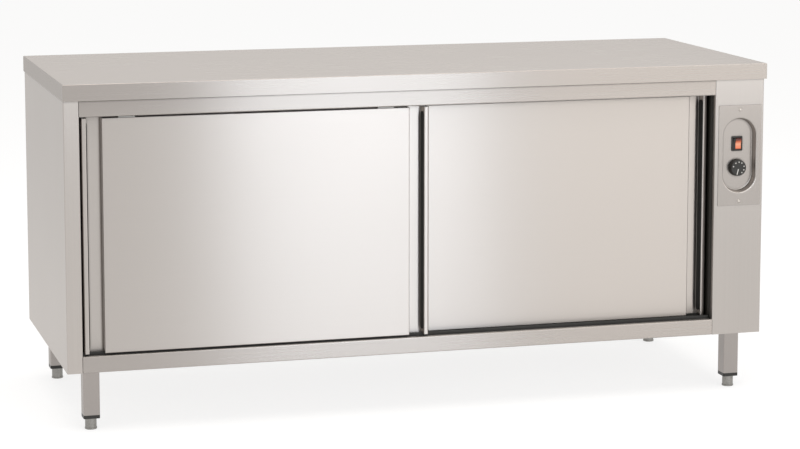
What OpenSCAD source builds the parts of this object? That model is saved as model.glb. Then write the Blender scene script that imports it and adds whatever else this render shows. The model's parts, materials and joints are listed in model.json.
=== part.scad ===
// Heated plate cabinet in stainless sheet: a double-walled cupboard with two sliding
// doors, a fan heater behind a recessed control panel, and four legs with levelling feet.
// X runs to the right, Y runs to the back and Z runs up from the floor. The origin is on
// the floor, under the middle of the worktop.

/* [Overall size] */
// Width over the worktop
total_w = 1800; // [1500:10:2000]
// Depth over the worktop
total_d = 700; // [600:10:800]
// Height from the floor to the top of the worktop
total_h = 850; // [820:5:900]
// Free height under the body
floor_gap = 150; // [130:5:180]

/* [Worktop] */
// Height of the folded edge of the worktop
worktop_t = 40; // [32:1:50]
// How far the worktop stands in front of the body
front_overhang = 12; // [8:1:18]
// How far the worktop stands out over each side panel
side_overhang = 2; // [1:0.5:6]
// How far the worktop stands out over the back
back_overhang = 5; // [2:1:20]
// Sheet of the worktop
worktop_sheet = 1.5; // [1:0.1:2]
// Outside radius of the worktop's long top edges
worktop_edge_r = 2.5; // [1.5:0.1:4]
// Width of the lip folded in under the worktop
worktop_lip = 22; // [20:1:40]

/* [Body] */
// Sheet of the outer panels
sheet = 1; // [0.8:0.1:1.5]
// Sheet of the inner liner
liner = 1; // [0.8:0.1:1.5]
// Inside radius of the folds
bend_r = 1.5; // [1:0.1:2]
// Width of the left stile, which is also the wall's thickness there
left_stile_w = 38; // [30:1:50]
// Width of the right stile, which carries the controls
control_stile_w = 133; // [125:1:150]
// Height of the rail over the doors
top_rail_h = 40; // [38:1:55]
// Height of the rail under the doors
bottom_rail_h = 40; // [36:1:60]
// Wall thickness at the back
back_wall_t = 40; // [30:1:60]
// Width of the flange folded in at the back of each side panel
rear_flange = 20; // [12:1:30]
// Width of the lip at the back of each door jamb
jamb_lip = 10; // [8:1:16]
// Height of the bottom panel over the lower edge of the body
bottom_recess = 15; // [12:1:20]

/* [Sliding doors] */
// How far the two closed doors overlap
door_overlap = 109; // [105:1:140]
// Thickness of a door
door_t = 27; // [25:1:30]
// Distance from the frame's face back to the front door's face
door_setback = 6; // [5:0.5:9]
// Gap between the two doors
door_spacing = 5; // [4:0.5:8]
// Gap between a closed door and its jamb
door_side_gap = 5; // [3:0.5:8]
// Gap over a door
door_top_gap = 4; // [3:0.5:6]
// Gap under a door
door_bottom_gap = 5; // [4:0.5:7]
// Sheet of the doors
door_sheet = 1; // [0.8:0.1:1.2]
// Outside radius along the edges of a door's face
door_edge_r = 2; // [1.3:0.1:3]

/* [Door grips] */
// Width of the flange outside the channel
grip_flange_w = 12.5; // [10:0.5:16]
// Width of the bevel along the flange's outer edge
grip_edge_w = 3; // [2:0.5:4]
// How far the channel's outer wall leans
grip_slope_w = 2.5; // [1:0.5:6]
// Width of the channel's floor
grip_floor_w = 35; // [28:0.5:40]
// Thickness of the soft strip in the channel
strip_t = 1.5; // [1:0.1:2.5]
// Distance from the strip's ends to the door's ends
strip_end_gap = 12; // [11:1:20]

/* [Door gear] */
// Radius of the hanging rollers
roller_r = 11; // [9:0.5:11.5]
// Width of the rollers
roller_w = 7.5; // [6:0.5:8]
// Radius of the roller pins
pin_r = 2.5; // [2:0.1:3.5]
// Running clearance of a roller on its pin, on the radius
pin_clearance = 0.08; // [0.03:0.01:0.1]
// Gap between a roller and the track it hangs on
roller_gap = 0.3; // [0.1:0.05:0.4]
// Sheet of the hangers
hanger_t = 2.5; // [2:0.5:3]
// Distance from a hanger to the end of its door
hanger_inset = 110; // [70:5:160]
// Width of a hanger's upright
hanger_w = 30; // [20:1:40]
// Length of a hanger's foot on the door
hanger_foot_l = 40; // [30:1:60]
// Width of that foot
hanger_foot_w = 24; // [16:1:24]
// Sheet of the track
track_t = 2; // [1.5:0.1:2.5]
// Height of the track's ledge over the lower edge of the top rail
ledge_rise = 10; // [8:0.5:11]
// Thickness of the two guide ribs on the sill
rib_t = 2; // [1.5:0.1:2.5]
// Height of the guide ribs
rib_h = 8; // [7:0.5:12]
// Thickness of the seals on the door jambs
seal_t = 2; // [1:0.1:2.5]
// Distance from the frame's face back to the seals
seal_setback = 14; // [8:1:25]
// Clearance on each side of a guide rib
rib_clearance = 0.6; // [0.3:0.1:1]
// Height of the guide shoes
shoe_h = 14; // [13:0.5:20]
// Length of the guide shoes
shoe_l = 50; // [30:5:80]

/* [Legs and feet] */
// Width of the square leg tubes
leg_w = 40; // [35:1:45]
// Wall of the leg tubes
leg_wall = 1.5; // [1:0.1:2.5]
// Distance from a leg's middle to the side of the worktop
leg_inset_x = 65; // [60:1:90]
// Distance from a leg's middle to the front or back of the worktop
leg_inset_y = 68; // [60:1:90]
// Height of the leg tube's lower end over the floor
leg_end = 37; // [34:1:50]
// Width of the plate on top of a leg
leg_plate_w = 80; // [60:1:90]
// Thickness of that plate
leg_plate_t = 3; // [2:0.5:5]
// Thickness of the insert's flange under the tube
insert_flange = 8.5; // [5:0.5:10]
// How far the insert reaches up the tube
insert_plug = 30; // [25:1:40]
// Radius of a foot
foot_r = 15; // [12:0.5:18]
// Radius of a foot's stud
stud_r = 5; // [4:0.5:6]
// Clearance of the stud in the insert, on the radius
stud_clearance = 0.1; // [0.05:0.05:0.3]
// How far the foot can be wound out
foot_travel = 30; // [10:1:30]
// How deep the stud still sits in the insert when it is wound out
stud_grip = 15; // [10:1:20]

/* [Control panel] */
// Distance from the controls' middle to the side of the worktop
control_inset = 67; // [65:0.5:68]
// Distance from the body's top edge down to the panel's middle
control_drop = 196; // [170:1:300]
// Width of the panel
plate_w = 116; // [104:1:118]
// Height of the panel
plate_h = 258; // [248:1:280]
// Sheet of the panel
plate_t = 1; // [0.8:0.1:1.5]
// Width of the recess
dish_w = 90; // [80:1:94]
// Height of the recess
dish_h = 191; // [180:1:204]
// Depth of the recess
dish_depth = 19; // [16:1:28]
// How far the recess's wall leans in
dish_draft = 3; // [1:0.5:5]
// Inside radius of the recess's folds
dish_fold_r = 2; // [1:0.1:2.5]
// Distance from the panel's middle to each screw
screw_offset = 118; // [112:1:119]
// Radius of the screws' thread
screw_r = 2; // [1.5:0.1:2.5]

/* [Switch] */
// Distance of the switch's middle over the panel's middle
switch_rise = 28; // [27:0.5:40]
// Width of the switch's bezel
bezel_w = 29.5; // [28:0.5:34]
// Height of the switch's bezel
bezel_h = 38; // [36:0.5:40]
// Thickness of the bezel
bezel_t = 2.5; // [1.5:0.1:3.5]
// Width of the rocker
rocker_w = 22; // [16:0.5:23]
// Radius of the rocker's ends about its pin
rocker_r = 14.5; // [12:0.5:15]
// Clearance round the rocker
rocker_clearance = 0.3; // [0.2:0.05:0.4]
// Angle at which the rocker rests, either way of its middle
rocker_tilt = 10; // [6:1:12]
// Depth of the switch behind the bezel
switch_depth = 25; // [20:1:35]

/* [Thermostat] */
// Distance of the knob's middle under the panel's middle
knob_drop = 33.5; // [31:0.5:38]
// Radius of the knob
knob_r = 22; // [16:0.5:24]
// Height of the knob
knob_h = 15; // [12:0.5:18]
// Gap between the knob and the panel
knob_gap = 0.6; // [0.4:0.1:1]
// Radius of the spindle
spindle_r = 3; // [2.5:0.1:4]
// Clearance of the spindle in the thermostat, on the radius
spindle_clearance = 0.08; // [0.05:0.01:0.1]
// Width of the thermostat's housing
thermostat_w = 44; // [36:1:50]
// Depth of the thermostat's housing
thermostat_d = 22; // [18:1:30]
// Radius of the sensing bulb
bulb_r = 3; // [2:0.1:4]
// Length of the sensing bulb
bulb_l = 80; // [50:5:120]
// Radius of the capillary tube
capillary_r = 1.2; // [1:0.1:1.5]
// Distance from the fan wheel to the sensing bulb
bulb_from_fan = 60; // [30:1:80]
// Height of the bulb's lower end over the fan's shaft
bulb_rise = 20; // [0:1:60]

/* [Fan heater] */
// Height of the fan's shaft over the chamber's floor
fan_rise = 150; // [120:1:160]
// Distance of the fan's shaft behind the cabinet's middle
fan_back = 20; // [-20:1:60]
// Radius of the fan wheel
fan_r = 72; // [50:1:76]
// Width of the fan's blades
blade_w = 22; // [15:1:24]
// Number of blades
blade_count = 12; // [6:1:16]
// Radius of the fan's shaft
shaft_r = 3; // [2.5:0.1:4]
// Running clearance of the shaft, on the radius
shaft_clearance = 0.05; // [0.02:0.01:0.1]
// Length of the posts that carry the motor plate
post_l = 40; // [38:1:48]
// Width of the motor plate
motor_plate_w = 200; // [196:1:220]
// Radius of the motor
motor_r = 36; // [25:1:45]
// Length of the motor
motor_l = 38; // [25:1:42]
// Radius of the heater's ring
ring_r = 88; // [85:1:92]
// Radius of the heater's tube
element_r = 4.25; // [3:0.25:5]

/* [Shelf] */
// Height of the shelf over the chamber's floor
shelf_rise = 288; // [262:1:340]
// Sheet of the shelf
shelf_sheet = 1; // [0.8:0.1:1.5]
// Height of the shelf's folded edges
shelf_edge = 30; // [15:1:35]
// Gap between the shelf and the chamber's walls, in front and behind
shelf_gap = 10; // [5:1:20]
// Gap between the shelf's ends and the clips it lies on
shelf_end_gap = 1; // [0.5:0.5:4]
// Sheet of the clips
clip_t = 2; // [1.5:0.5:3]
// How far a clip reaches in under the shelf
clip_reach = 20; // [12:1:30]
// Width of the shelf uprights
upright_w = 25; // [20:1:35]
// Thickness of the uprights
upright_t = 3; // [2:0.5:5]
// Pitch of the slots in the uprights
slot_pitch = 25; // [20:1:40]

/* [Mains inlet] */
// Bore of the cable gland, as a radius
gland_bore_r = 5; // [3:0.5:6]
// Radius of the gland's thread
gland_r = 10; // [8:0.5:11]
// Length of the cable gland
gland_l = 31; // [28:1:40]
// Radius of the main wire bundle
loom_r = 3; // [2:0.5:4]
// Radius of the wires that branch off it
branch_r = 2; // [1:0.5:3]
// Distance from the wire bundle to the right side panel
loom_gap = 20; // [12:1:25]

/* [Hidden] */
$fn = 48;
bend_steps = 4;
eps = 1;

// Colours
steel = "#cfcac5";
liner_steel = "#c4c2be";
dark_plastic = "#26241f";
black_rubber = "#1c1a18";
nylon = "#e8e4da";
wool = "#c9b98a";
zinc = "#b4b6b8";
amber = "#e0683c";
board = "#b08d5a";
copper = "#b26b3c";

// Body
body_left = -total_w / 2 + side_overhang;
body_right = -body_left;
body_front = -total_d / 2 + front_overhang;
body_back = total_d / 2 - back_overhang;
body_bottom = floor_gap;
body_top = total_h - worktop_t;
bottom_z = body_bottom + bottom_recess;
back_panel_y = body_back - 2 * sheet;
joint_gap = 0.5;
fold_inset = sheet + bend_r + joint_gap;

// Door opening
open_left = body_left + left_stile_w;
open_right = body_right - control_stile_w;
open_bottom = body_bottom + bottom_rail_h;
open_top = body_top - top_rail_h;
open_w = open_right - open_left;

// Doors
door_w = (open_w - 2 * door_side_gap + door_overlap) / 2;
door_z = open_bottom + door_bottom_gap;
door_h = open_top - door_top_gap - door_z;
left_door_x = open_left + door_side_gap;
left_door_y = body_front + door_setback;
right_door_x = open_right - door_side_gap - door_w;
right_door_y = left_door_y + door_t + door_spacing;
door_mid = door_t / 2;
door_inside = door_t - door_sheet;
grip_w = grip_flange_w + grip_slope_w + grip_floor_w;
grip_depth = door_t - 2 * door_sheet;
grip_turn = atan2(grip_depth, grip_slope_w);
grip_wall_l = norm([grip_slope_w, grip_depth]);
strip_w = grip_wall_l - 2 * tan(grip_turn / 2) * (bend_r + door_sheet) - joint_gap;
shoe_lip = door_mid - 5.5;
shoe_inset = grip_w + 35;

// Chamber behind the doors
jamb_back_gap = 5;
jamb_d = door_setback + 2 * door_t + door_spacing + jamb_back_gap;
chamber_front = body_front + jamb_d;
chamber_back = body_back - back_wall_t;
chamber_roof = open_top + 2;
roof_top = chamber_roof + liner;
wall_bottom = open_bottom - liner;

// Door gear
track_top = body_top - sheet;
ledge_top = open_top + ledge_rise;
roller_z = ledge_top + roller_gap + roller_r - door_z;
roller_side_gap = 0.5;
roller_y = door_mid - hanger_t / 2 - roller_side_gap - roller_w;
ledge_edge_gap = 1.5;
web_y = door_mid - hanger_t / 2 - roller_side_gap - roller_w - 7.25;
pin_head_t = 1.2;
hanger_over_pin = 7;
slot_h = rib_h - door_bottom_gap + 2;
guide_t = 1;
guide_margin = 7;

// Legs and feet
leg_x = total_w / 2 - leg_inset_x;
leg_y = total_d / 2 - leg_inset_y;
insert_bottom = leg_end - insert_flange;
foot_seat_gap = 0.3;
foot_top = insert_bottom - foot_seat_gap;
stud_top = insert_bottom + foot_travel + stud_grip;

// Controls
control_x = total_w / 2 - control_inset;
control_z = body_top - control_drop;
dish_r = dish_w / 2;
dish_straight = dish_h - dish_w;
rim_w = plate_t + dish_fold_r;
cutout_gap = 0.5;
dish_front = body_front - plate_t + dish_depth;
dish_back = dish_front + plate_t;
switch_z = control_z + switch_rise;
knob_z = control_z - knob_drop;
rocker_pivot_y = dish_front + 1;
rocker_back = 6;
rocker_front = 2;
rocker_peak = 4.8;
switch_wall = 1.7;
body_hole_gap = 0.2;
bulb_clip_w = 8;
capillary_drop = 8;
capillary_side = 12;

// Fan heater
compartment_x = open_right + liner;
fan_y = fan_back;
fan_z = open_bottom + fan_rise;
motor_plate_t = 2;
motor_plate_x = compartment_x + post_l;
motor_x = motor_plate_x + motor_plate_t;
post_r = 5;
post_offset = motor_plate_w / 2 - 15;
blade_front = compartment_x + post_l - 10 - blade_w;
ring_x = compartment_x + post_l / 2 - 1;
ring_gap = 40;
motor_cap_l = 6;
loom_rise = 30;
element_end = motor_x + 17;
elbow_r = element_r + 0.5;

// Shelf
shelf_z = open_bottom + shelf_rise;
upright_y = [chamber_front + 68, chamber_back - 65];
upright_gap = 5;

// Mains inlet
gland_x = leg_x - 5;
gland_y = leg_y - 92;
gland_hex_h = 8;
gland_drop = 20;
gland_nut_h = 5;
block_w = 60;
block_d = 25;
block_h = 20;
block_x = compartment_x + 4 + block_w / 2;
block_y = gland_y - 95;

function unit(v) = v / norm(v);
function left_of(v) = [-v[1], v[0]];
function turned(v, a) = [v[0] * cos(a) - v[1] * sin(a), v[0] * sin(a) + v[1] * cos(a)];
function turn_angle(u, v) = atan2(u[0] * v[1] - u[1] * v[0], u * v);
function backwards(v) = [for (i = [len(v) - 1 : -1 : 0]) v[i]];

// One fold at p between directions u and v, traced at depth s in the sheet
function fold_points(p, u, v, s, t, r) =
    let (a = turn_angle(u, v),
         d = a > 0 ? r + t : -r,
         c = p + (left_of(u) + left_of(v)) * d / (1 + u * v))
    [for (k = [0 : bend_steps]) c - turned(left_of(u), a * k / bend_steps) * (d - s)];

// One face of a folded sheet, at depth s from the face that the path follows
function sheet_face(path, s, t, r) = [
    for (i = [0 : len(path) - 1])
        let (first = i == 0,
             last = i == len(path) - 1,
             u = unit(first ? path[1] - path[0] : path[i] - path[i - 1]),
             v = last ? u : unit(path[i + 1] - path[i]))
        each first || last ? [path[i] + left_of(u) * s] : fold_points(path[i], u, v, s, t, r)
];

// Section of a folded sheet: the path follows one face, and the sheet lies on its left
module folded(path, t, r)
    polygon(concat(sheet_face(path, 0, t, r), backwards(sheet_face(path, t, t, r))));

// Rectangle whose two corners on the x axis are round
module front_rounded(w, d, r) {
    translate([r, 0]) square([w - 2 * r, d]);
    translate([0, r]) square([w, d - r]);
    for (x = [r, w - r]) translate([x, r]) circle(r);
}

// Upright slot shape with half-round ends
module stadium(w, h) {
    square([w, h - w], center = true);
    for (s = [-1, 1]) translate([0, s * (h - w) / 2]) circle(w / 2);
}

module rounded_square(w, r) {
    square([w - 2 * r, w], center = true);
    square([w, w - 2 * r], center = true);
    for (sx = [-1, 1], sy = [-1, 1]) translate([sx * (w / 2 - r), sy * (w / 2 - r)]) circle(r);
}

// Block between two opposite corners
module block(low, high) translate(low) cube(high - low);

// Section in the Y-Z plane drawn out along X
module along_x(x0, x1) translate([x0, 0, 0]) rotate([90, 0, 90]) linear_extrude(x1 - x0) children();

// Round bar through a list of points, with ball corners
module bar(points, r) {
    for (i = [1 : len(points) - 1]) rod(points[i - 1], points[i], r);
    for (i = [1 : len(points) - 2]) translate(points[i]) sphere(r + 0.2, $fn = 24);
}

module rod(a, b, r) {
    v = b - a;
    translate(a)
        rotate([0, atan2(norm([v[0], v[1]]), v[2]), atan2(v[1], v[0])])
            cylinder(h = norm(v), r = r, $fn = 24);
}

// Worktop
module worktop_block(w, d, h, r)
    intersection() {
        translate([-w / 2, d / 2, h]) rotate([90, 0, 0]) linear_extrude(d)
            mirror([0, 1]) front_rounded(w, h, r);
        translate([w / 2, -d / 2, h]) rotate([90, 0, -90]) linear_extrude(w)
            mirror([0, 1]) mirror([1, 0]) front_rounded(d, h, r);
    }

module worktop() color(steel) translate([0, 0, body_top]) difference() {
    worktop_block(total_w, total_d, worktop_t, worktop_edge_r);
    block([-total_w / 2 + worktop_sheet, -total_d / 2 + worktop_sheet, worktop_sheet],
          [total_w / 2 - worktop_sheet, total_d / 2 - worktop_sheet, worktop_t - worktop_sheet]);
    block([-total_w / 2 + worktop_lip, -total_d / 2 + worktop_lip, -eps],
          [total_w / 2 - worktop_lip, total_d / 2 - worktop_lip, worktop_sheet + eps]);
}

module worktop_core() color(board)
    block([-total_w / 2 + worktop_sheet, -total_d / 2 + worktop_sheet, body_top + worktop_sheet],
          [total_w / 2 - worktop_sheet, total_d / 2 - worktop_sheet, total_h - worktop_sheet]);

// Outer body
// Side panel with its rear flange, stile and door jamb in one folded sheet
module side_panel(stile_w) difference() {
    translate([body_left, 0, body_bottom]) linear_extrude(body_top - body_bottom)
        folded([[rear_flange, body_back], [0, body_back], [0, body_front],
                [stile_w, body_front], [stile_w, chamber_front],
                [stile_w - jamb_lip, chamber_front]], sheet, bend_r);
    block([body_left + stile_w - jamb_lip - eps, body_front + sheet + bend_r, body_bottom - eps],
          [body_left + stile_w + eps, chamber_front + eps, bottom_z + sheet]);
}

module left_side_panel() color(steel) side_panel(left_stile_w);

module right_side_panel() color(steel) difference() {
    mirror([1, 0, 0]) side_panel(control_stile_w);
    at_controls() translate([0, 0, -dish_depth]) linear_extrude(2 * dish_depth)
        stadium(dish_w + 2 * (rim_w + cutout_gap), dish_h + 2 * (rim_w + cutout_gap));
    screw_holes(screw_r + 0.1);
}

module back_panel() color(steel) difference() {
    block([body_left + fold_inset, back_panel_y, body_bottom],
          [body_right - fold_inset, back_panel_y + sheet, body_top]);
    for (i = [0 : 7])
        translate([(compartment_x + body_right) / 2, back_panel_y - eps, body_top - 90 - 14 * i])
            rotate([-90, 0, 0]) linear_extrude(sheet + 2 * eps) rotate(90) stadium(5, 70);
}

module bottom_panel() color(steel) difference() {
    block([body_left + sheet, body_front + fold_inset, bottom_z],
          [body_right - sheet, body_back - fold_inset, bottom_z + sheet]);
    translate([gland_x, gland_y, bottom_z - eps])
        cylinder(h = sheet + 2 * eps, r = gland_r + 0.2);
}

module rail(bottom, top, top_return, bottom_return) along_x(open_left, open_right)
    folded([[body_front + top_return, top], [body_front, top],
            [body_front, bottom], [body_front + bottom_return, bottom]], sheet, bend_r);

module top_rail() color(steel) rail(open_top, body_top, jamb_d - 1, door_setback - 1.5);

module bottom_rail() color(steel) rail(body_bottom, open_bottom, jamb_d, 15);

// Liner of the heated chamber
module inner_left_wall() color(liner_steel)
    block([open_left - liner, chamber_front, wall_bottom],
          [open_left, chamber_back, roof_top]);

module inner_back_wall() color(liner_steel)
    block([open_left - liner, chamber_back, wall_bottom],
          [open_right + liner, chamber_back + liner, roof_top]);

module inner_floor() color(liner_steel)
    block([open_left, chamber_front, wall_bottom], [open_right, chamber_back, open_bottom]);

module inner_roof() color(liner_steel) along_x(open_left, open_right)
    folded([[chamber_front, body_top], [chamber_front, chamber_roof],
            [chamber_back, chamber_roof]], liner, bend_r);

// Partition to the heater, with an intake grille in front of the fan and two rows of
// outlet slots, one over the shelf and one under it
module heater_partition() color(liner_steel) difference() {
    block([open_right, chamber_front, wall_bottom], [open_right + liner, chamber_back, roof_top]);
    translate([open_right - eps, fan_y, fan_z]) rotate([0, 90, 0]) {
        cylinder(h = liner + 2 * eps, r = 4);
        for (ring = [1 : 3], i = [0 : 6 * ring - 1])
            rotate(60 * i / ring) translate([15 * ring, 0, 0])
                cylinder(h = liner + 2 * eps, r = 4);
    }
    for (z = [open_bottom + 25, shelf_z + 130], i = [-4 : 4])
        translate([open_right - eps, fan_y + 30 * i, z]) rotate([90, 0, 90])
            linear_extrude(liner + 2 * eps) stadium(8, 40);
}

// Mineral wool between the skins, one slab to a wall
module insulation() color(wool) {
    low = bottom_z + sheet;
    front = chamber_front + liner + bend_r + joint_gap;
    block([body_left + sheet, chamber_front + joint_gap, low],
          [open_left - liner, chamber_back + liner - joint_gap, body_top]);
    block([body_left + sheet, chamber_back + liner, low],
          [open_right, body_back - fold_inset, body_top]);
    block([open_left - liner + joint_gap, front, roof_top],
          [open_right, chamber_back + liner - joint_gap, body_top]);
    block([open_left - liner + joint_gap, chamber_front + liner, low],
          [open_right, chamber_back + liner - joint_gap, wall_bottom]);
}

// Door gear on the body
// Track under the top rail: for each door a web and the ledge its rollers run on
module door_track() color(zinc) along_x(open_left, open_right) {
    front = left_door_y + web_y;
    back = right_door_y + door_mid + 12;
    translate([front, track_top - track_t]) square([back - front, track_t]);
    for (y = [left_door_y, right_door_y]) {
        translate([y + web_y, ledge_top - track_t])
            square([track_t, track_top - ledge_top + track_t]);
        translate([y + web_y, ledge_top - track_t])
            square([door_mid - hanger_t / 2 - ledge_edge_gap - web_y, track_t]);
    }
}

// Black guide with two ribs on the sill that keep the doors upright, and a seal of the
// same plastic up each jamb
module door_guide_rail() color(dark_plastic) {
    block([open_left, left_door_y + door_mid - guide_margin, open_bottom],
          [open_right, right_door_y + door_mid + guide_margin, open_bottom + guide_t]);
    for (y = [left_door_y, right_door_y])
        block([open_left + seal_t + joint_gap, y + door_mid - rib_t / 2, open_bottom],
              [open_right - seal_t - joint_gap, y + door_mid + rib_t / 2, open_bottom + rib_h]);
    for (x = [open_left, open_right - seal_t])
        block([x, body_front + seal_setback, open_bottom + guide_t + joint_gap],
              [x + seal_t, chamber_front - jamb_back_gap, open_top]);
}

// Shelf and its supports
module upright_slots() {
    count = floor((chamber_roof - open_bottom - 60) / slot_pitch);
    first = shelf_z - 6 - slot_pitch * floor((shelf_z - open_bottom - 36) / slot_pitch);
    for (i = [0 : count - 1])
        if (first + i * slot_pitch < chamber_roof - 15)
            translate([0, 0, first + i * slot_pitch])
                cube([4 * upright_t, 12, 4], center = true);
}

module upright() difference() {
    block([0, -upright_w / 2, open_bottom + upright_gap],
          [upright_t, upright_w / 2, chamber_roof - upright_gap]);
    upright_slots();
}

// Runs its children at each of the four uprights, with +X into the chamber
module at_uprights() for (y = upright_y) {
    translate([open_left, y, 0]) children();
    translate([open_right, y, 0]) mirror([1, 0, 0]) children();
}

module shelf_uprights() color(zinc) at_uprights() upright();

module shelf_clips() color(zinc) at_uprights() {
    block([upright_t, -9, shelf_z - 16], [upright_t + clip_t, 9, shelf_z]);
    block([upright_t, -9, shelf_z - clip_t], [upright_t + clip_t + clip_reach, 9, shelf_z]);
    block([0.5, -5, shelf_z - 8], [upright_t + eps, 5, shelf_z - 4.5]);
}

module shelf() color(liner_steel)
    along_x(open_left + upright_t + clip_t + shelf_end_gap,
            open_right - upright_t - clip_t - shelf_end_gap)
        folded([[chamber_back - shelf_gap - 12, shelf_z - shelf_edge],
                [chamber_back - shelf_gap, shelf_z - shelf_edge],
                [chamber_back - shelf_gap, shelf_z + shelf_sheet],
                [chamber_front + shelf_gap, shelf_z + shelf_sheet],
                [chamber_front + shelf_gap, shelf_z - shelf_edge],
                [chamber_front + shelf_gap + 12, shelf_z - shelf_edge]], shelf_sheet, bend_r);

// Legs and feet
module leg(sx, sy) color(steel) translate([sx * leg_x, sy * leg_y, 0]) {
    translate([0, 0, leg_end]) linear_extrude(bottom_z - leg_plate_t - leg_end) difference() {
        rounded_square(leg_w, 3);
        rounded_square(leg_w - 2 * leg_wall, 3 - leg_wall / 2);
    }
    translate([-leg_plate_w / 2, -leg_plate_w / 2, bottom_z - leg_plate_t])
        cube([leg_plate_w, leg_plate_w, leg_plate_t]);
}

module front_left_leg() leg(-1, -1);
module front_right_leg() leg(1, -1);
module rear_left_leg() leg(-1, 1);
module rear_right_leg() leg(1, 1);

module leg_insert() difference() {
    union() {
        translate([0, 0, insert_bottom]) linear_extrude(insert_flange) rounded_square(leg_w, 3);
        translate([0, 0, leg_end])
            linear_extrude(insert_plug)
                rounded_square(leg_w - 2 * leg_wall, 3 - leg_wall / 2);
    }
    translate([0, 0, insert_bottom - eps])
        cylinder(h = insert_flange + insert_plug + 2 * eps, r = stud_r + stud_clearance);
}

module leg_inserts() color(dark_plastic) for (sx = [-1, 1], sy = [-1, 1])
    translate([sx * leg_x, sy * leg_y, 0]) leg_insert();

// Levelling foot: a ribbed barrel on a base disc, turned in one piece with its stud
module foot(sx, sy) color(zinc) translate([sx * leg_x, sy * leg_y, 0]) {
    rotate_extrude() polygon([
        [0, 0], [foot_r - 1, 0], [foot_r, 1], [foot_r, 4], [foot_r - 1, 4.5],
        [foot_r - 1, foot_top - 1], [foot_r - 2, foot_top], [stud_r, foot_top],
        [stud_r, stud_top - 1], [stud_r - 1, stud_top], [0, stud_top]]);
}

module front_left_foot() foot(-1, -1);
module front_right_foot() foot(1, -1);
module rear_left_foot() foot(-1, 1);
module rear_right_foot() foot(1, 1);

// Doors, drawn with the lower left corner of the face at the origin
module at_left_door() translate([left_door_x, left_door_y, door_z]) children();
module at_right_door() translate([right_door_x, right_door_y, door_z]) children();

// Slot along the bottom of a door for the rib on the sill
module rib_slot()
    block([-eps, door_mid - rib_t / 2 - rib_clearance, -eps],
          [door_w + eps, door_mid + rib_t / 2 + rib_clearance, slot_h]);

module door_face() color(steel) {
    w = door_w - 2 * grip_w;
    translate([grip_w, 0, 0]) difference() {
        intersection() {
            linear_extrude(door_h) front_rounded(w, door_inside, door_edge_r);
            translate([w, 0, 0]) rotate([0, -90, 0])
                linear_extrude(w) front_rounded(door_h, door_inside, door_edge_r);
        }
        block([door_sheet, door_sheet, door_sheet],
              [w - door_sheet, door_t, door_h - door_sheet]);
        block([-eps, grip_depth, -eps], [w + eps, door_t, door_h - door_sheet]);
        block([-eps, shoe_lip, -eps], [w + eps, door_t, door_sheet + eps]);
        for (x = [-eps, w - door_sheet])
            block([x, grip_depth, -eps], [x + door_sheet + eps, door_t, door_h + eps]);
        translate([-grip_w, 0, 0]) rib_slot();
    }
}

module door_back() color(steel) {
    block([0, door_inside, 0], [door_w, door_t, door_h]);
    block([grip_w + door_sheet, door_t - shoe_lip, 0],
          [door_w - grip_w - door_sheet, door_t, door_sheet]);
}

module door_core() color(wool)
    block([grip_w + door_sheet, door_sheet, door_sheet + shoe_h],
          [door_w - grip_w - door_sheet, door_inside, door_h - door_sheet]);

module both_ends() {
    children();
    translate([door_w, 0, 0]) mirror([1, 0, 0]) children();
}

// Channel at each end of a door, lying on the back skin, with a flange and a soft edge
module door_grips() color(steel) difference() {
    both_ends() linear_extrude(door_h)
        folded([[door_w - grip_w - door_sheet, grip_depth],
                [door_w - grip_flange_w - grip_slope_w, grip_depth],
                [door_w - grip_flange_w, 0], [door_w - grip_edge_w, 0],
                [door_w, grip_edge_w], [door_w, door_inside]],
               door_sheet, bend_r);
    rib_slot();
}

// Soft strips that line the leaning wall of each channel
module grip_strips() color(black_rubber) both_ends()
    translate([door_w - grip_flange_w - grip_slope_w / 2, grip_depth / 2, door_h / 2])
        rotate([0, 0, 90 - grip_turn])
            along_x(-strip_t, 0) stadium(strip_w, door_h - 2 * strip_end_gap);

module door_hangers() color(zinc) for (x = [hanger_inset, door_w - hanger_inset])
    translate([x, door_mid, 0]) {
        block([-hanger_foot_l / 2, -hanger_foot_w / 2, door_h],
              [hanger_foot_l / 2, hanger_foot_w / 2, door_h + hanger_t]);
        block([-hanger_w / 2, -hanger_t / 2, door_h],
              [hanger_w / 2, hanger_t / 2, roller_z + hanger_over_pin]);
        translate([0, 0, roller_z]) rotate([90, 0, 0]) {
            cylinder(h = hanger_t / 2 + roller_w + 2 * roller_side_gap, r = pin_r);
            translate([0, 0, hanger_t / 2 + roller_w + 2 * roller_side_gap])
                cylinder(h = pin_head_t, r = pin_r + 2);
        }
    }

// Guide shoes that straddle the ribs on the sill
module door_shoes() color(nylon) for (x = [shoe_inset, door_w - shoe_inset]) difference() {
    block([x - shoe_l / 2, door_sheet, door_sheet],
          [x + shoe_l / 2, door_inside, door_sheet + shoe_h]);
    rib_slot();
}

module roller(x) color(nylon) translate([x, roller_y + roller_w, roller_z]) rotate([90, 0, 0])
    difference() {
        cylinder(h = roller_w, r = roller_r);
        translate([0, 0, -eps]) cylinder(h = roller_w + 2 * eps, r = pin_r + pin_clearance);
    }

module left_door_face() at_left_door() door_face();
module left_door_back() at_left_door() door_back();
module left_door_core() at_left_door() door_core();
module left_door_grips() at_left_door() door_grips();
module left_door_grip_strips() at_left_door() grip_strips();
module left_door_hangers() at_left_door() door_hangers();
module left_door_shoes() at_left_door() door_shoes();
module left_door_left_roller() at_left_door() roller(hanger_inset);
module left_door_right_roller() at_left_door() roller(door_w - hanger_inset);
module right_door_face() at_right_door() door_face();
module right_door_back() at_right_door() door_back();
module right_door_core() at_right_door() door_core();
module right_door_grips() at_right_door() door_grips();
module right_door_grip_strips() at_right_door() grip_strips();
module right_door_hangers() at_right_door() door_hangers();
module right_door_shoes() at_right_door() door_shoes();
module right_door_left_roller() at_right_door() roller(hanger_inset);
module right_door_right_roller() at_right_door() roller(door_w - hanger_inset);

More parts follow.
